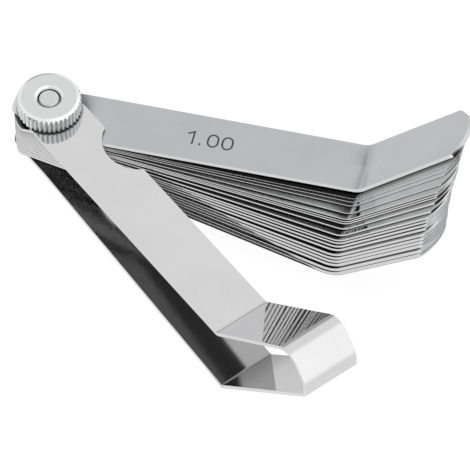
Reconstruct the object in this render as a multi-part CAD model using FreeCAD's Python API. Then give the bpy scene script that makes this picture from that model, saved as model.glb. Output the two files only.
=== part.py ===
import FreeCAD, Part
import math
import os

# Curved feeler gauge: twenty bent steel leaves that fan out of a folded spring steel case.
# The leaves turn on one threaded stud, and a knurled thumb nut clamps them between the case's legs.
# Millimetres and degrees. The stud's axis is Z, with the nut on top, and X runs along the case to its nose.
# The origin is the centre of the flat underside of the stud's head.

Vector = FreeCAD.Vector
axis_z = Vector(0, 0, 1)

# Stud and thumb nut
stud_diameter = 5.0
stud_recess = 0.4
stud_end_chamfer = 0.4
head_diameter = 10.0
head_height = 3.0
head_chamfer = 0.5
nut_diameter = 14.5
nut_height = 4.3
nut_top_bevel = 1.0
nut_bevel_step = 0.3
nut_chamfer = 0.35
knurl_count = 40
knurl_depth = 0.4
countersink_width = 0.65
countersink_depth = 0.6
running_clearance = 0.06
nut_clearance = 0.02

# Leaves from the top of the pack down: thickness, and the angle each stands out from the case
leaves = [
    (1.00, 40.2),
    (0.05, 38.9),
    (0.10, 38.2),
    (0.15, 37.4),
    (0.20, 35.8),
    (0.25, 34.6),
    (0.30, 34.3),
    (0.35, 34.1),
    (0.40, 33.2),
    (0.45, 32.0),
    (0.50, 31.2),
    (0.55, 31.0),
    (0.60, 30.7),
    (0.65, 30.4),
    (0.70, 29.8),
    (0.75, 29.6),
    (0.80, 29.5),
    (0.85, 29.4),
    (0.90, 29.0),
    (0.95, 28.9),
]
leaf_width = 12.7
leaf_tail_margin = 1.65
leaf_seat_radius = 20.0
leaf_bend_angle = 43.2
leaf_bend_radius = 3.0
leaf_bend_growth = 0.3
leaf_tip_length = 30.4
leaf_tip_margin = 0.95
leaf_tip_corner = 1.5
leaf_gap = 0.012
leaf_droop = 0.13

# Case, one folded strip. Lengths run to the sharp corners that the bends round off.
case_side_margin = 0.4
case_sheet = 0.8
case_end_margin = 1.65
case_flat_margin = 1.2
top_leg_length = 71.0
top_tip_angle = 43.0
bottom_leg_margin = 2.2
bottom_leg_spring = 3.0
leg_bend_radius = 0.8
leg_flex_radius = 20.0
crown_room = 4.0
crown_length = 9.15
crown_angle = 50.7
crown_radius = 3.25
front_radius = 4.9
corner_radius = 0.3
leaf_bend_clearance = 0.8
leaf_tip_clearance = 0.15
notch_distance = 19.0
notch_depth = 4.15
notch_radius = 8.5

# Levels up the stud
leg_underside = head_height
leg_top = leg_underside + case_sheet
stack_height = sum(thickness for thickness, fan in leaves) + (len(leaves) - 1) * leaf_gap
stack_top = leg_top + leaf_gap + stack_height
cover_underside = stack_top + leaf_gap
cover_top = cover_underside + case_sheet
nut_underside = cover_top + nut_clearance
nut_top = nut_underside + nut_height
stud_top = nut_top - stud_recess
hole_radius = stud_diameter / 2 + running_clearance

# Plan of the leaves and of the case that holds them
leaf_bend_distance = top_leg_length + leaf_bend_clearance
leaf_bend_top = stack_top - leaf_droop
leaf_bend_bottom = leaf_bend_top - stack_height / math.cos(math.radians(leaf_bend_angle))
leaf_tail_radius = leaf_width / 2 + leaf_tail_margin
leaf_tip_radius = leaf_width / 2 + leaf_tip_margin
case_width = leaf_width + 2 * case_side_margin
case_end_radius = case_width / 2 + case_end_margin
case_flat_length = head_diameter / 2 + case_flat_margin
notch_offset = case_width / 2 + notch_radius - notch_depth

# Longer than any blank, for the tools that trim them
reach = 2 * (leaf_bend_distance + leaf_tip_length)


def heading(degrees):
    """Unit vector in the XZ plane, turned up from X by the angle."""
    return Vector(math.cos(math.radians(degrees)), 0, math.sin(math.radians(degrees)))


def right_of(direction):
    """The direction a quarter turn to the right, in the XZ plane."""
    return Vector(direction.z, 0, -direction.x)


def crossing(point_a, direction_a, point_b, direction_b):
    """Where two lines in the XZ plane meet."""
    gap = point_b - point_a
    spread = direction_a.x * direction_b.z - direction_a.z * direction_b.x
    along = (gap.x * direction_b.z - gap.z * direction_b.x) / spread
    return point_a + direction_a * along


def offset_corners(corners, distance):
    """The corners of a path moved sideways to its right."""
    runs = [(b - a).normalize() for a, b in zip(corners, corners[1:])]
    starts = [corner + right_of(run) * distance for corner, run in zip(corners, runs)]
    moved = [starts[0]]
    for i in range(1, len(runs)):
        moved.append(crossing(starts[i - 1], runs[i - 1], starts[i], runs[i]))
    moved.append(corners[-1] + right_of(runs[-1]) * distance)
    return moved


def rounded_path(corners, radii):
    """Lines along the corners, joined by tangent arcs of the given radii, or by a crease where that is 0."""
    edges = []
    start = corners[0]
    for i, radius in enumerate(radii, 1):
        if radius == 0:
            edges.append(Part.makeLine(start, corners[i]))
            start = corners[i]
            continue
        before = (corners[i] - corners[i - 1]).normalize()
        after = (corners[i + 1] - corners[i]).normalize()
        turn = before.getAngle(after)
        setback = radius * math.tan(turn / 2)
        arc_start = corners[i] - before * setback
        arc_end = corners[i] + after * setback
        bisector = (after - before).normalize()
        arc_middle = corners[i] + bisector * (radius / math.cos(turn / 2) - radius)
        edges.append(Part.makeLine(start, arc_start))
        edges.append(Part.Arc(arc_start, arc_middle, arc_end).toShape())
        start = arc_end
    edges.append(Part.makeLine(start, corners[-1]))
    return edges


def strip_face(corners, inside_radii, thickness):
    """Section of a bent strip that lies to the right of the corners' path."""
    near_radii = []
    far_radii = []
    for i, radius in enumerate(inside_radii, 1):
        before = corners[i] - corners[i - 1]
        after = corners[i + 1] - corners[i]
        turns_left = before.x * after.z - before.z * after.x > 0
        outside_radius = radius + thickness if radius else 0
        near_radii.append(radius if turns_left else outside_radius)
        far_radii.append(outside_radius if turns_left else radius)
    far_corners = offset_corners(corners, thickness)
    edges = rounded_path(corners, near_radii)
    edges += rounded_path(far_corners, far_radii)
    edges.append(Part.makeLine(corners[0], far_corners[0]))
    edges.append(Part.makeLine(corners[-1], far_corners[-1]))
    return Part.Face(Part.Wire(Part.__sortEdges__(edges)))


def stud_hole():
    return Part.makeCylinder(hole_radius, reach, Vector(0, 0, -reach / 2))


def round_end(radius):
    """Keeps what lies ahead of the stud's axis or within the radius of it."""
    ahead = Part.makeBox(reach, reach, reach, Vector(0, -reach / 2, -reach / 2))
    disc = Part.makeCylinder(radius, reach, Vector(0, 0, -reach / 2))
    return ahead.fuse(disc)


def case_corners():
    """Outer face of the folded case, from the top leg's end round the nose to the bottom leg's end."""
    top_end = Vector(-case_end_radius, 0, cover_top)
    top_bend = Vector(top_leg_length, 0, cover_top)
    crown = top_bend + heading(top_tip_angle) * (leaf_tip_length + crown_room)
    front_top = crown + heading(-crown_angle) * crown_length
    bottom_bend = Vector(top_leg_length + bottom_leg_margin, 0, leaf_bend_bottom - bottom_leg_spring)
    bottom_flat = Vector(case_flat_length, 0, leg_underside)
    bottom_end = Vector(-case_end_radius, 0, leg_underside)
    lowest_tip = Vector(leaf_bend_distance, 0, leaf_bend_bottom) + heading(leaf_bend_angle) * leaf_tip_length
    rise = (lowest_tip - bottom_bend).normalize()
    lowest_tip.z -= leaf_tip_clearance + case_sheet / rise.x
    front_bottom = crossing(bottom_bend, lowest_tip - bottom_bend, front_top, axis_z)
    return [top_end, top_bend, crown, front_top, front_bottom, bottom_bend, bottom_flat, bottom_end]


def make_case():
    radii = [leg_bend_radius, crown_radius, front_radius, corner_radius, leg_bend_radius, leg_flex_radius]
    section = strip_face(case_corners(), radii, case_sheet)
    section.translate(Vector(0, -case_width / 2, 0))
    folded = section.extrude(Vector(0, case_width, 0))
    folded = folded.common(round_end(case_end_radius))
    notch_axis = Vector(notch_distance, notch_offset, -reach / 2)
    thumb_notch = Part.makeCylinder(notch_radius, reach, notch_axis)
    return folded.cut([thumb_notch, stud_hole()]).removeSplitter()


def leaf_outline():
    """Flat outline of a leaf's tip: straight sides and a round end, with softened corners."""
    half = leaf_width / 2
    back = -reach
    centre = leaf_tip_length - leaf_tip_radius
    inner = leaf_tip_radius - leaf_tip_corner
    rise = half - leaf_tip_corner
    corner_x = centre + math.sqrt(inner ** 2 - rise ** 2)
    slant = math.atan2(rise, corner_x - centre)
    touch_x = centre + leaf_tip_radius * math.cos(slant)
    touch_y = leaf_tip_radius * math.sin(slant)
    middle = (slant + math.pi / 2) / 2
    soft_x = corner_x + leaf_tip_corner * math.cos(middle)
    soft_y = rise + leaf_tip_corner * math.sin(middle)
    left_corner = Part.Arc(Vector(corner_x, half, 0), Vector(soft_x, soft_y, 0), Vector(touch_x, touch_y, 0))
    end = Part.Arc(Vector(touch_x, touch_y, 0), Vector(leaf_tip_length, 0, 0), Vector(touch_x, -touch_y, 0))
    right_corner = Part.Arc(Vector(touch_x, -touch_y, 0), Vector(soft_x, -soft_y, 0), Vector(corner_x, -half, 0))
    edges = [
        Part.makeLine(Vector(back, half, 0), Vector(corner_x, half, 0)),
        left_corner.toShape(),
        end.toShape(),
        right_corner.toShape(),
        Part.makeLine(Vector(corner_x, -half, 0), Vector(back, -half, 0)),
        Part.makeLine(Vector(back, -half, 0), Vector(back, half, 0)),
    ]
    return Part.Face(Part.Wire(edges))


def make_leaf(thickness, seat_top, bend_top, bend_radius):
    """A leaf swept round the stud's axis and trimmed to its outline, so that leaves slide past each other."""
    tip_run = leaf_tip_length + leaf_width
    bend = Vector(leaf_bend_distance, 0, bend_top)
    corners = [
        Vector(0, 0, seat_top),
        Vector(leaf_seat_radius, 0, seat_top),
        bend,
        bend + heading(leaf_bend_angle) * tip_run,
    ]
    section = strip_face(corners, [0, bend_radius], thickness)
    section.rotate(Vector(0, 0, 0), axis_z, 180)
    dish = section.revolve(Vector(0, 0, 0), axis_z, 360)
    outline = leaf_outline()
    outline.translate(Vector(0, 0, -reach))
    cutter = outline.extrude(Vector(0, 0, 2 * reach))
    cutter.rotate(Vector(0, 0, 0), Vector(0, -1, 0), leaf_bend_angle)
    cutter.translate(bend)
    leaf = dish.common(cutter).common(round_end(leaf_tail_radius))
    return leaf.cut(stud_hole()).removeSplitter()


def make_leaves():
    """All leaves, stacked from the top down. Their tips lie parallel, so the flats spread towards the bend,
    and the lower a leaf lies, the wider it bends."""
    pack = {}
    seat_top = stack_top
    bend_top = leaf_bend_top
    for thickness, fan in leaves:
        bend_radius = leaf_bend_radius + (stack_top - seat_top) * leaf_bend_growth
        leaf = make_leaf(thickness, seat_top, bend_top, bend_radius)
        leaf.rotate(Vector(0, 0, 0), axis_z, fan)
        pack["leaf_%d_%02d" % (int(thickness), round(thickness * 100) % 100)] = leaf
        seat_top -= thickness + leaf_gap
        bend_top -= (thickness + leaf_gap) / math.cos(math.radians(leaf_bend_angle))
    return pack


def turned(corners):
    """Solid turned from half of its section, given as radius and height pairs."""
    points = [Vector(radius, 0, height) for radius, height in corners + corners[:1]]
    return Part.Face(Part.makePolygon(points)).revolve(Vector(0, 0, 0), axis_z, 360)


def make_stud():
    """Stud with a flat round head under the case; its thread carries the nut."""
    head = head_diameter / 2
    shank = stud_diameter / 2
    return turned([
        (0, 0),
        (head - head_chamfer, 0),
        (head, head_chamfer),
        (head, head_height),
        (shank, head_height),
        (shank, stud_top - stud_end_chamfer),
        (shank - stud_end_chamfer, stud_top),
        (0, stud_top),
    ])


def make_nut():
    """Thumb nut: straight knurling, a double bevel above and a small one below, and a countersunk hole."""
    points = []
    for i in range(2 * knurl_count + 1):
        angle = math.pi * i / knurl_count
        radius = nut_diameter / 2 - knurl_depth * (i % 2)
        points.append(Vector(radius * math.cos(angle), radius * math.sin(angle), nut_underside))
    knurled = Part.Face(Part.makePolygon(points)).extrude(axis_z * nut_height)
    full = nut_diameter / 2
    blank = turned([
        (hole_radius, nut_underside),
        (full - nut_chamfer, nut_underside),
        (full, nut_underside + nut_chamfer),
        (full, nut_top - nut_top_bevel),
        (full - nut_bevel_step, nut_top - nut_bevel_step),
        (full - nut_top_bevel, nut_top),
        (hole_radius + countersink_width, nut_top),
        (hole_radius, nut_top - countersink_depth),
    ])
    return knurled.common(blank)


def save(name, shape):
    solids = shape.Solids
    part = solids[0] if len(solids) == 1 else Part.makeCompound(solids)
    part.exportStep("parts/%s.step" % name)
    print("%-12s %8.1f mm3, %d faces, valid %s" % (name, part.Volume, len(part.Faces), part.isValid()))


os.makedirs("parts", exist_ok=True)
save("case", make_case())
save("pivot_stud", make_stud())
save("knurled_nut", make_nut())
for leaf_name, leaf_shape in make_leaves().items():
    save(leaf_name, leaf_shape)
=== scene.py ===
import math
import bpy
import bmesh
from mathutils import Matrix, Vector


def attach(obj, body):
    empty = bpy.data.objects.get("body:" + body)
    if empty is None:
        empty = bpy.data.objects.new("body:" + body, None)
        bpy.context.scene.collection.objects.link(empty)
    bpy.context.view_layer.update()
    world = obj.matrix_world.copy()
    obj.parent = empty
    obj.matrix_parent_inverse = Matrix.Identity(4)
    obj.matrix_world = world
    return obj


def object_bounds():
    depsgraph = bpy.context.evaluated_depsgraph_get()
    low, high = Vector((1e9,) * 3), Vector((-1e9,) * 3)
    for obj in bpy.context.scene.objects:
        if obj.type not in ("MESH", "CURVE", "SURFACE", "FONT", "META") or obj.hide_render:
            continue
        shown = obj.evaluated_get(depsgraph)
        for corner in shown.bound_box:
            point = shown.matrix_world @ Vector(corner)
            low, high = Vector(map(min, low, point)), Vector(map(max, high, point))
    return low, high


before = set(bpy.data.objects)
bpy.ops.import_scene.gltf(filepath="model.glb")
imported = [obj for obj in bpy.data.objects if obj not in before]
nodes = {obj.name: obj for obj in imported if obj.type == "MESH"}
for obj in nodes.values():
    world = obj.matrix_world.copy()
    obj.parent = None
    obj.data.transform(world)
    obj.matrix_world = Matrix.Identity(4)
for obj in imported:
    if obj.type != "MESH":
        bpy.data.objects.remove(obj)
cadLow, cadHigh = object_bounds()
scene = bpy.context.scene
mm = 0.001
print("frame loaded:", len(nodes), "nodes")

# for all the steel: what is left of its tone where painted shade fills a gap, how deep its fine lines may
# look and how broken up they are, and how much of a cloud's range shows
steelLook = {"gapShadeTone": 0.025, "lineDepth": 0.05 * mm, "lineDetail": 2.0, "cloudThin": 0.35,
             "cloudThick": 0.65, "cloudDetail": 4.0, "cloudBreak": 0.6}
# how many rays each look at the neighbouring faces takes
rays = {"crevice": 12, "fan": 16, "stripEdge": 8, "turnedEdge": 6}
# a Mix node's sockets for colours
firstColour, secondColour, mixedColour = 6, 7, 2


def linearColour(hexCode):
    # sRGB hex to the linear values that the shaders take
    channels = [int(hexCode[i:i + 2], 16) / 255 for i in (1, 3, 5)]
    return tuple(c / 12.92 if c <= 0.04045 else ((c + 0.055) / 1.055) ** 2.4 for c in channels) + (1.0,)


def addNode(tree, kind, inputs=None, **settings):
    # one node with its settings. Each input takes a value or another node's socket. It gives the outputs
    node = tree.nodes.new("ShaderNode" + kind)
    for name, value in settings.items():
        setattr(node, name, value)
    for key, value in (inputs or {}).items():
        if isinstance(value, bpy.types.NodeSocket):
            tree.links.new(value, node.inputs[key])
        else:
            node.inputs[key].default_value = value
    return node.outputs


def newMaterial(name):
    material = bpy.data.materials.new(name)
    material.use_nodes = True
    tree = material.node_tree
    tree.nodes.clear()
    return material, tree


def shareWhere(tree, *limits):
    # 1 where every limit holds, 0 where one doesn't, with soft steps. A limit is a value, and a pair:
    # where it no longer holds, and where it holds in full
    share = 1.0
    for value, (outside, within) in limits:
        step = addNode(tree, "MapRange", {"Value": value, "From Min": outside, "From Max": within},
                       interpolation_type="SMOOTHSTEP")[0]
        share = addNode(tree, "Math", {0: share, 1: step}, operation="MULTIPLY")[0]
    return share


def paintedGapShade(tree, free, depth):
    # 1 on open surfaces, down to painted shade in the gaps: the more closed in a spot is, the darker
    unshaded = addNode(tree, "Math", {0: free, 1: depth}, operation="POWER")[0]
    return addNode(tree, "MapRange", {"Value": unshaded, "To Min": steelLook["gapShadeTone"]})[0]


# painted shade in crevices, darker where nearby faces close a spot in
def inCrevices(tree, look):
    gap = addNode(tree, "AmbientOcclusion", {"Distance": look["creviceMm"] * mm}, samples=rays["crevice"])
    return paintedGapShade(tree, gap["AO"], look["creviceDepth"])


def cloudyPolish(tree, look, place):
    # a roughness and a tone that drift a little from place to place, as handled steel does
    drift = addNode(tree, "TexNoise", {"Vector": place, "Scale": 1 / (look["cloudMm"] * mm),
                                       "Detail": steelLook["cloudDetail"],
                                       "Roughness": steelLook["cloudBreak"]})[0]
    drifting = []
    for middle, spread in ((look["roughness"], look["haze"]), (1, look["tone"])):
        ends = {"From Min": steelLook["cloudThin"], "From Max": steelLook["cloudThick"],
                "To Min": middle - spread, "To Max": middle + spread}
        drifting.append(addNode(tree, "MapRange", {"Value": drift, **ends})[0])
    return drifting


def finishMetal(tree, colour, gloss, lineInputs, mark, edge, **lineSettings):
    # bare metal, with fine lines of rolling, grinding or turning riding on the softened edges
    lines = addNode(tree, "TexNoise", {"Detail": steelLook["lineDetail"], **lineInputs}, **lineSettings)[0]
    bump = addNode(tree, "Bump", {"Strength": mark, "Distance": steelLook["lineDepth"], "Height": lines,
                                  "Normal": edge})[0]
    metal = addNode(tree, "BsdfPrincipled", {"Base Color": colour, "Metallic": 1.0, "Roughness": gloss,
                                             "Normal": bump})[0]
    addNode(tree, "OutputMaterial", {"Surface": metal})


# cold rolled spring steel strip, polished: a clear mirror image, a little cloudy from handling.
# The faces inside the fold are out of the polishing wheel's reach, so they are duller; they are also
# painted darker as shade between the two legs, and the crevices get painted shade.
# The rolling lines are drawn coarser than real ones, which are too fine to show
caseLook = {"colour": "#DEDEDF", "tone": 0.02, "roughness": 0.035, "haze": 0.015, "cloudMm": 11.0,
            "grainMm": 0.3, "grainMark": 0.002, "grainRun": 0.03, "edgeMm": 0.15, "creviceMm": 0.8,
            "creviceDepth": 2.0, "insideShadeTone": 0.56, "insideRoughness": 0.1}
# the fold's inside: along the strip up to the bend, either side of a height between the two legs, and
# fading out up the lower tip. Its faces look up, down or back towards the stud
foldSide = {"bend": 73.0 * mm, "middle": 8.0 * mm, "fade": 1.0 * mm, "tipTop": 11.0 * mm,
            "tipFade": 12.0 * mm, "up": (0.8, 0.9), "down": (-0.8, -0.9), "back": (-0.4, -0.6)}


def insideFold(tree, place):
    # 1 on the facing sides of the two legs and low on the lower tip, 0 on the rest of the strip
    face = addNode(tree, "SeparateXYZ", {"Vector": addNode(tree, "NewGeometry")["Normal"]})
    spot = addNode(tree, "SeparateXYZ", {"Vector": place})
    middle = foldSide["middle"]
    fade = foldSide["fade"]
    straight = (spot["X"], (foldSide["bend"] + fade, foldSide["bend"]))
    lower = shareWhere(tree, (spot["Z"], (middle, middle - fade)), (face["Z"], foldSide["up"]), straight)
    upper = shareWhere(tree, (spot["Z"], (middle, middle + fade)), (face["Z"], foldSide["down"]), straight)
    legs = addNode(tree, "Math", {0: lower, 1: upper}, operation="MAXIMUM")[0]
    tipRange = (foldSide["tipTop"], foldSide["tipTop"] - foldSide["tipFade"])
    tip = shareWhere(tree, (spot["Z"], tipRange), (face["X"], foldSide["back"]))
    return addNode(tree, "Math", {0: legs, 1: tip}, operation="MAXIMUM")[0]


def polishedSpringSteel(look):
    material, tree = newMaterial("polishedSpringSteel")
    place = addNode(tree, "TexCoord")["Object"]
    gloss, tone = cloudyPolish(tree, look, place)
    inside = insideFold(tree, place)
    gloss = addNode(tree, "MapRange", {"Value": inside, "To Min": gloss,
                                       "To Max": look["insideRoughness"]})[0]
    # painted shade: the inside of the fold and the crevices are painted darker
    paintedShade = addNode(tree, "MapRange", {"Value": inside, "To Min": 1.0, "To Max": look["insideShadeTone"]})[0]
    paintedShade = addNode(tree, "Math", {0: inCrevices(tree, look), 1: paintedShade}, operation="MULTIPLY")[0]
    tone = addNode(tree, "Math", {0: tone, 1: paintedShade}, operation="MULTIPLY")[0]
    colour = addNode(tree, "VectorMath", {0: linearColour(look["colour"])[:3], "Scale": tone},
                     operation="SCALE")[0]
    along = addNode(tree, "Mapping", {"Vector": place, "Scale": (look["grainRun"], 1.0, 1.0)})[0]
    lines = {"Vector": along, "Scale": 1 / (look["grainMm"] * mm)}
    edge = addNode(tree, "Bevel", {"Radius": look["edgeMm"] * mm}, samples=rays["stripEdge"])[0]
    finishMetal(tree, colour, gloss, lines, look["grainMark"], edge)
    return material


# hardened and ground gauge strip: greyer than the case, with fine grinding lines along each leaf,
# painted shade between the leaves and low on each narrow side, and a painted highlight along each broken
# upper edge. The grinding lines are drawn coarser than real ones too
leafLook = {"colour": "#C3C4C5", "tone": 0.025, "roughness": 0.05, "haze": 0.02, "cloudMm": 16.0,
            "grainMm": 0.25, "grainMark": 0.004, "grainRadius": 60.0, "edgeMm": 0.25, "rim": "#DEDEDE",
            "rimShare": 0.8, "creviceMm": 3.0, "creviceDepth": 3.5, "fanMm": 6.0, "fanDepth": 11.0,
            "edgeLean": 1.1, "undersideShadeTone": 0.22}
# which way a leaf's faces look, by the upward part of their direction. The last is how much an edge's
# softened direction agrees with its face
leafSlopes = {"flat": (0.85, 0.95), "side": (0.45, 0.25), "notUnder": (-0.97, -0.9), "lit": (-0.25, 0.05),
              "upperRim": (0.1, 0.4), "rounded": (0.998, 0.95)}
# how a gap in the fan is looked into: mostly across the leaf, a little upwards, and the share of that
# view that has to be free for no painted shade
fanView = {"across": 0.94, "up": 0.342, "clear": 0.86}


def inFan(tree, look):
    # painted shade as inCrevices, but looking low across the leaf to the ones that lie above it in the fan
    spot = addNode(tree, "NewGeometry")["Position"]
    side = addNode(tree, "VectorMath", {0: (0, 0, 1), 1: spot}, operation="CROSS_PRODUCT")[0]
    side = addNode(tree, "VectorMath", {0: side}, operation="NORMALIZE")[0]
    view = addNode(tree, "VectorMath", {0: side, 1: (fanView["across"],) * 3, 2: (0, 0, fanView["up"])},
                   operation="MULTIPLY_ADD")[0]
    gap = addNode(tree, "AmbientOcclusion", {"Distance": look["fanMm"] * mm, "Normal": view},
                  samples=rays["fan"])["AO"]
    enough = fanView["clear"] * (1 + fanView["up"]) / 2
    free = addNode(tree, "Math", {0: gap, 1: enough}, operation="DIVIDE", use_clamp=True)[0]
    return paintedGapShade(tree, free, look["fanDepth"])


def alongLeaf(tree, look, place):
    # grinding lines run out from the stud, whichever way a leaf stands
    spot = addNode(tree, "SeparateXYZ", {"Vector": place})
    turn = addNode(tree, "Math", {0: spot["Y"], 1: spot["X"]}, operation="ARCTAN2")[0]
    across = addNode(tree, "Math", {0: turn, 1: look["grainRadius"] * mm}, operation="MULTIPLY")[0]
    return addNode(tree, "CombineXYZ", {"X": across, "Y": spot["Z"]})[0]


def edgeHighlightAndLean(tree, look, normal, edge, litSide):
    # how much of the painted highlight on the rims shows, and the direction of the edges with the broken
    # sides leaning back
    agree = addNode(tree, "VectorMath", {0: edge, 1: normal}, operation="DOT_PRODUCT")["Value"]
    edgeUp = addNode(tree, "SeparateXYZ", {"Vector": edge})["Z"]
    rim = shareWhere(tree, (agree, leafSlopes["rounded"]), (edgeUp, leafSlopes["upperRim"]))
    rim = addNode(tree, "Math", {0: rim, 1: look["rimShare"]}, operation="MULTIPLY")[0]
    highlight = addNode(tree, "Math", {0: rim, 1: litSide}, operation="MAXIMUM")[0]
    lift = addNode(tree, "Math", {0: litSide, 1: look["edgeLean"]}, operation="MULTIPLY")[0]
    lift = addNode(tree, "CombineXYZ", {"Z": lift})[0]
    lean = addNode(tree, "VectorMath", {0: edge, 1: lift}, operation="ADD")[0]
    return highlight, addNode(tree, "VectorMath", {0: lean}, operation="NORMALIZE")[0]


def groundGaugeSteel(look):
    material, tree = newMaterial("groundGaugeSteel")
    place = addNode(tree, "TexCoord")["Object"]
    gloss, tone = cloudyPolish(tree, look, place)
    normal = addNode(tree, "NewGeometry")["Normal"]
    up = addNode(tree, "SeparateXYZ", {"Vector": normal})["Z"]
    flat = shareWhere(tree, (up, leafSlopes["flat"]))
    # painted shade: from crevices on the sloping faces, and from the leaves above in the fan on the flats
    unshaded = addNode(tree, "MapRange", {"Value": flat, "To Min": inCrevices(tree, look),
                                       "To Max": inFan(tree, look)})[0]
    # the narrow side of a leaf is broken at its upper edge, which gets a painted highlight, and is painted
    # dark below that as shade
    edge = addNode(tree, "Bevel", {"Radius": look["edgeMm"] * mm}, samples=rays["stripEdge"])[0]
    edgeUp = addNode(tree, "SeparateXYZ", {"Vector": edge})["Z"]
    side = shareWhere(tree, (up, leafSlopes["side"]), (up, leafSlopes["notUnder"]))
    lit = shareWhere(tree, (edgeUp, leafSlopes["lit"]))
    sideTone = addNode(tree, "MapRange", {"Value": lit, "To Min": look["undersideShadeTone"]})[0]
    unshaded = addNode(tree, "MapRange", {"Value": side, "To Min": unshaded, "To Max": sideTone})[0]
    litSide = addNode(tree, "Math", {0: side, 1: lit}, operation="MULTIPLY")[0]
    highlight, lean = edgeHighlightAndLean(tree, look, normal, edge, litSide)
    tone = addNode(tree, "Math", {0: tone, 1: unshaded}, operation="MULTIPLY")[0]
    colour = addNode(tree, "VectorMath", {0: linearColour(look["colour"])[:3], "Scale": tone},
                     operation="SCALE")[0]
    tones = {firstColour: colour, secondColour: linearColour(look["rim"])}
    colour = addNode(tree, "Mix", {"Factor": highlight, **tones}, data_type="RGBA")[mixedColour]
    lines = {"Vector": alongLeaf(tree, look, place), "Scale": 1 / (look["grainMm"] * mm)}
    finishMetal(tree, colour, gloss, lines, look["grainMark"], lean)
    return material


# nickel plated steel, turned: faint rings round the hole, a painted highlight on the bevels, painted shade
# in the crevices, a duller knurled side
nutLook = {"colour": "#DFE0E0", "roughness": 0.09, "turningMm": 0.14, "turning": 0.05, "edgeMm": 0.15,
           "creviceMm": 0.9, "creviceDepth": 2.5, "bevel": "#F6F6F6", "sideRoughness": 0.26}
# the stud's end is faced steel, a little rougher than the plated nut
studLook = {"colour": "#DADBDB", "roughness": 0.12, "turningMm": 0.2, "turning": 0.12, "edgeMm": 0.1,
            "creviceMm": 0.6, "creviceDepth": 1.5, "bevel": "#DADBDB", "sideRoughness": 0.2}
# which way a turned piece's faces look, by the upward part of their direction
turnedSlopes = {"bevel": (0.15, 0.35), "notFlat": (0.98, 0.9), "side": (0.3, 0.15)}


def turnedSteel(name, look):
    material, tree = newMaterial(name)
    place = addNode(tree, "TexCoord")["Object"]
    level = addNode(tree, "VectorMath", {0: place, 1: (1, 1, 0)}, operation="MULTIPLY")[0]
    radius = addNode(tree, "VectorMath", {0: level}, operation="LENGTH")["Value"]
    rings = {"W": radius, "Scale": 1 / (look["turningMm"] * mm)}
    up = addNode(tree, "SeparateXYZ", {"Vector": addNode(tree, "NewGeometry")["Normal"]})["Z"]
    bevel = shareWhere(tree, (up, turnedSlopes["bevel"]), (up, turnedSlopes["notFlat"]))
    # a painted highlight on the bevels
    plateAndHighlight = {firstColour: linearColour(look["colour"]), secondColour: linearColour(look["bevel"])}
    colour = addNode(tree, "Mix", {"Factor": bevel, **plateAndHighlight}, data_type="RGBA")[mixedColour]
    # painted shade in the crevices, as where the nut sits on the leg
    colour = addNode(tree, "VectorMath", {0: colour, "Scale": inCrevices(tree, look)}, operation="SCALE")[0]
    side = shareWhere(tree, (up, turnedSlopes["side"]))
    gloss = addNode(tree, "MapRange", {"Value": side, "To Min": look["roughness"],
                                       "To Max": look["sideRoughness"]})[0]
    edge = addNode(tree, "Bevel", {"Radius": look["edgeMm"] * mm}, samples=rays["turnedEdge"])[0]
    finishMetal(tree, colour, gloss, rings, look["turning"], edge, noise_dimensions="1D")
    return material


caseSteel = polishedSpringSteel(caseLook)
leafSteel = groundGaugeSteel(leafLook)
nodeFinish = {"case": caseSteel, "knurled_nut": turnedSteel("nickelPlatedSteel", nutLook),
              "pivot_stud": turnedSteel("facedSteel", studLook)}
for name, piece in nodes.items():
    for slot in piece.material_slots:
        slot.material = nodeFinish.get(name, leafSteel)
print("finishes set")

# acid etched and blackened numbers: matt, with a slight break-up of the tone
etchLook = {"dark": "#242426", "light": "#414143", "grainMm": 0.3, "grainDetail": 2.0, "roughness": 0.55}
# a number lies along its leaf: its signs, where it starts, and how its strokes are drawn. It is set down
# on the leaf from above, and the leaf's direction is read from the topmost points of its tip
numberLook = {"height": 3.3 * mm, "width": 2.25 * mm, "pitch": 3.3 * mm, "onePitch": 0.92,
              "stroke": 0.4 * mm, "pointSize": 0.6, "pointRoom": 1.9 * mm, "start": 31.4 * mm,
              "baseline": -1.75 * mm, "arcStep": 12, "fewestSteps": 6, "sharpest": 0.5, "sameSpot": 1e-9,
              "lift": 0.003 * mm, "dropFrom": 100 * mm, "tipBand": 0.3 * mm}
# strokes in a box 1 wide and 1 high: lines as points, arcs as centre, radii, first and last angle
digitStrokes = {
    "0": [("arc", 0.5, 0.62, 0.5, 0.38, 0, 180), ("line", 0, 0.62, 0, 0.38),
          ("arc", 0.5, 0.38, 0.5, 0.38, 180, 360), ("line", 1, 0.38, 1, 0.62)],
    "1": [("line", 0.15, 0.8, 0.7, 1.0, 0.7, 0.0)],
    "2": [("arc", 0.5, 0.7, 0.5, 0.3, 170, -30), ("line", 0.93, 0.55, 0.0, 0.0, 1.0, 0.0)],
    "3": [("arc", 0.47, 0.76, 0.43, 0.24, 160, -90), ("arc", 0.47, 0.27, 0.5, 0.27, 90, -160)],
    "4": [("line", 0.75, 0.0, 0.75, 1.0, 0.0, 0.28, 1.0, 0.28)],
    "5": [("line", 0.9, 1.0, 0.15, 1.0, 0.08, 0.5), ("arc", 0.48, 0.32, 0.5, 0.32, 135, -150)],
    "6": [("arc", 0.5, 0.32, 0.5, 0.32, 0, 360), ("arc", 0.9, 0.42, 0.9, 0.58, 180, 95)],
    "7": [("line", 0.0, 1.0, 1.0, 1.0, 0.35, 0.0)],
    "8": [("arc", 0.5, 0.76, 0.42, 0.24, 0, 360), ("arc", 0.5, 0.27, 0.5, 0.27, 0, 360)],
    "9": [("arc", 0.5, 0.68, 0.5, 0.32, 0, 360), ("arc", 0.1, 0.58, 0.9, 0.58, 0, -85)],
}


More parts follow.
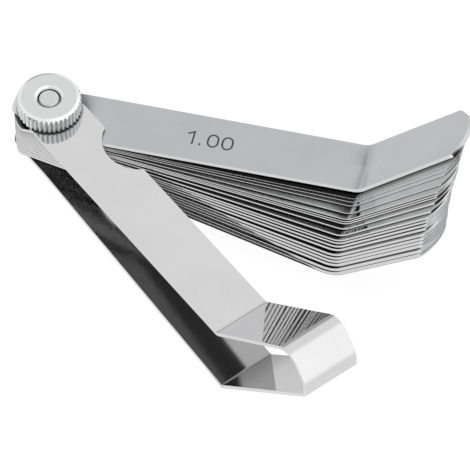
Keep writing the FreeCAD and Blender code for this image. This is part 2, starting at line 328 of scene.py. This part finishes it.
def blackEtching(look):
    material, tree = newMaterial("blackEtching")
    place = addNode(tree, "TexCoord")["Object"]
    grain = addNode(tree, "TexNoise", {"Vector": place, "Scale": 1 / (look["grainMm"] * mm),
                                       "Detail": look["grainDetail"]})[0]
    tones = {firstColour: linearColour(look["dark"]), secondColour: linearColour(look["light"])}
    colour = addNode(tree, "Mix", {"Factor": grain, **tones}, data_type="RGBA")[mixedColour]
    ink = addNode(tree, "BsdfPrincipled", {"Base Color": colour, "Roughness": look["roughness"]})[0]
    addNode(tree, "OutputMaterial", {"Surface": ink})
    return material


def strokePoints(stroke):
    kind, values = stroke[0], stroke[1:]
    if kind == "line":
        return list(zip(values[::2], values[1::2]))
    cx, cy, rx, ry, first, last = values
    steps = max(numberLook["fewestSteps"], int(abs(last - first) / numberLook["arcStep"]))
    angles = [math.radians(first + (last - first) * i / steps) for i in range(steps + 1)]
    return [(cx + rx * math.cos(a), cy + ry * math.sin(a)) for a in angles]


def numberLines(text):
    # centre lines of all the strokes, in metres along and across the leaf
    lines = []
    pen = numberLook["start"]
    base = numberLook["baseline"]
    for sign in text:
        if sign == ".":
            side = numberLook["stroke"] * numberLook["pointSize"]
            lines.append([(pen + side, base), (pen + side, base + side)])
            pen += numberLook["pointRoom"]
            continue
        for stroke in digitStrokes[sign]:
            lines.append([(pen + x * numberLook["width"], base + y * numberLook["height"])
                          for x, y in strokePoints(stroke)])
        pen += numberLook["pitch"] * (numberLook["onePitch"] if sign == "1" else 1)
    return lines


def leafDirection(leaf):
    # the leaf runs from the stud to its tip, which is its highest part
    top = max(v.co.z for v in leaf.data.vertices)
    tip = [v.co for v in leaf.data.vertices if v.co.z > top - numberLook["tipBand"]]
    middle = sum(tip, Vector()) / len(tip)
    return Vector((middle.x, middle.y, 0)).normalized()


def etchNumber(leafName, ink):
    leaf = nodes[leafName]
    size = leafName.removeprefix("leaf_")
    ahead = leafDirection(leaf)
    across = Vector((-ahead.y, ahead.x, 0))
    half = numberLook["stroke"] / 2
    mesh = bmesh.new()

    def setDown(point):
        # one point of the ink, a hair above the leaf
        above = ahead * point.x + across * point.y + Vector((0, 0, numberLook["dropFrom"]))
        place = leaf.ray_cast(above, Vector((0, 0, -1)))[1]
        return mesh.verts.new(place + Vector((0, 0, numberLook["lift"])))

    for line in numberLines(size.replace("_", ".")):
        points = [Vector(p) for p in line]
        runs = [(b - a).normalized() for a, b in zip(points, points[1:])]
        closed = (points[0] - points[-1]).length < numberLook["sameSpot"]
        overhang = {} if closed else {0: -half, len(runs): half}
        rims = []
        for i, point in enumerate(points):
            before = runs[i - 1] if i or closed else runs[0]
            after = runs[i % len(runs)] if closed or i < len(runs) else runs[-1]
            along = (before + after).normalized()
            side = Vector((-along.y, along.x)) * half / max(numberLook["sharpest"], along.dot(after))
            end = along * overhang.get(i, 0)
            rims.append((setDown(point + side + end), setDown(point - side + end)))
        for (a, b), (c, d) in zip(rims, rims[1:]):
            mesh.faces.new((b, d, c, a))
    data = bpy.data.meshes.new("number_" + size)
    mesh.to_mesh(data)
    mesh.free()
    data.materials.append(ink)
    number = bpy.data.objects.new("number_" + size, data)
    scene.collection.objects.link(number)
    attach(number, leafName)


numberInk = blackEtching(etchLook)
for name in sorted(nodes):
    if name.startswith("leaf_"):
        etchNumber(name, numberInk)
print("numbers etched")

# matt white paint: plain white to the camera, with a trace of the object's shadow
floorLook = {"size": 6.0, "drop": 0.02 * mm, "colour": "#F4F4F4", "seenWhite": 0.93, "seenShadow": 0.12}
# panels round the object: which way they stand, how far they reach in degrees, and how bright they are
studio = {
    "walls": 0.9,
    "panels": [
        {"turn": 125, "height": 35, "core": 36, "edge": 64, "tone": 1.2},
        {"turn": 10, "height": -56, "core": 18, "edge": 34, "tone": 1.2},
        {"turn": 295, "height": 27, "core": 3, "edge": 14, "tone": 0.6},
        {"turn": 248, "height": -2, "core": 6, "edge": 24, "tone": 0.45},
        {"turn": 233, "height": -54, "core": 14, "edge": 30, "tone": 0.1},
        {"turn": 3, "height": -24, "core": 12, "edge": 24, "tone": 0.03},
    ],
}
softbox = {"turn": 230, "height": 62, "distance": 0.9, "size": 0.7, "watts": 3.0}
# the lens is given as its focal length in pixels of the photograph's frame
cameraView = {"aim": (0.04308, 0.01933, -0.00127), "turn": 53.04, "height": 53.9, "distance": 0.850,
              "focalPixels": 3808, "framePixels": 470, "sensor": 36.0, "near": 0.01, "far": 20.0}


def outward(turn, height):
    t, h = math.radians(turn), math.radians(height)
    return Vector((math.sin(t) * math.cos(h), -math.cos(t) * math.cos(h), math.sin(h)))


def mattWhitePaint(look):
    material, tree = newMaterial("mattWhitePaint")
    seen = addNode(tree, "LightPath")["Is Camera Ray"]
    share = addNode(tree, "MapRange", {"Value": seen, "To Min": 1.0, "To Max": look["seenShadow"]})[0]
    colour = addNode(tree, "VectorMath", {0: linearColour(look["colour"])[:3], "Scale": share},
                     operation="SCALE")[0]
    lift = addNode(tree, "Math", {0: seen, 1: look["seenWhite"]}, operation="MULTIPLY")[0]
    paint = addNode(tree, "BsdfDiffuse", {"Color": colour})[0]
    glow = addNode(tree, "Emission", {"Strength": lift})[0]
    both = addNode(tree, "AddShader", {0: paint, 1: glow})[0]
    addNode(tree, "OutputMaterial", {"Surface": both})
    return material


def whiteStudio(look):
    # pale walls all round, with lit and dark panels that the polished steel mirrors
    world = bpy.data.worlds.new("whiteStudio")
    world.use_nodes = True
    tree = world.node_tree
    tree.nodes.clear()
    way = addNode(tree, "TexCoord")["Generated"]
    tone = look["walls"]
    for panel in look["panels"]:
        towards = addNode(tree, "VectorMath", {0: way, 1: outward(panel["turn"], panel["height"])},
                          operation="DOT_PRODUCT")["Value"]
        rim, core = (math.cos(math.radians(panel[part])) for part in ("edge", "core"))
        cover = shareWhere(tree, (towards, (rim, core)))
        tone = addNode(tree, "MapRange", {"Value": cover, "To Min": tone, "To Max": panel["tone"]})[0]
    # the panels show in mirror images only: walls to every other ray, and plain white to the camera
    ray = addNode(tree, "LightPath")
    tone = addNode(tree, "MapRange", {"Value": ray["Is Glossy Ray"], "To Min": look["walls"],
                                      "To Max": tone})[0]
    tone = addNode(tree, "MapRange", {"Value": ray["Is Camera Ray"], "To Min": tone, "To Max": 1.0})[0]
    back = addNode(tree, "Background", {"Color": (1, 1, 1, 1), "Strength": tone})[0]
    addNode(tree, "OutputWorld", {"Surface": back})
    return world


def standFacing(thing, look):
    # out from the aim by a turn, a height and a distance, and looking back at it
    aim = Vector(cameraView["aim"])
    thing.location = aim + outward(look["turn"], look["height"]) * look["distance"]
    thing.rotation_euler = (aim - thing.location).to_track_quat("-Z", "Y").to_euler()
    scene.collection.objects.link(thing)


floorMesh = bpy.data.meshes.new("floor")
reach = floorLook["size"] / 2
corners = [(-reach, -reach, 0), (reach, -reach, 0), (reach, reach, 0), (-reach, reach, 0)]
floorMesh.from_pydata(corners, [], [(0, 1, 2, 3)])
floorMesh.materials.append(mattWhitePaint(floorLook))
floor = bpy.data.objects.new("floor", floorMesh)
floor.location.z = cadLow.z - floorLook["drop"]
floor.visible_glossy = False
scene.collection.objects.link(floor)

scene.world = whiteStudio(studio)
lampData = bpy.data.lights.new("softbox", "AREA")
lampData.energy = softbox["watts"]
lampData.size = softbox["size"]
lamp = bpy.data.objects.new("softbox", lampData)
lamp.visible_glossy = False
standFacing(lamp, softbox)

cameraData = bpy.data.cameras.new("camera")
cameraData.sensor_width = cameraView["sensor"]
cameraData.lens = cameraView["sensor"] * cameraView["focalPixels"] / cameraView["framePixels"]
cameraData.clip_start = cameraView["near"]
cameraData.clip_end = cameraView["far"]
camera = bpy.data.objects.new("camera", cameraData)
standFacing(camera, cameraView)
scene.camera = camera
scene.view_settings.view_transform = "Standard"
print("stage, light and camera set")
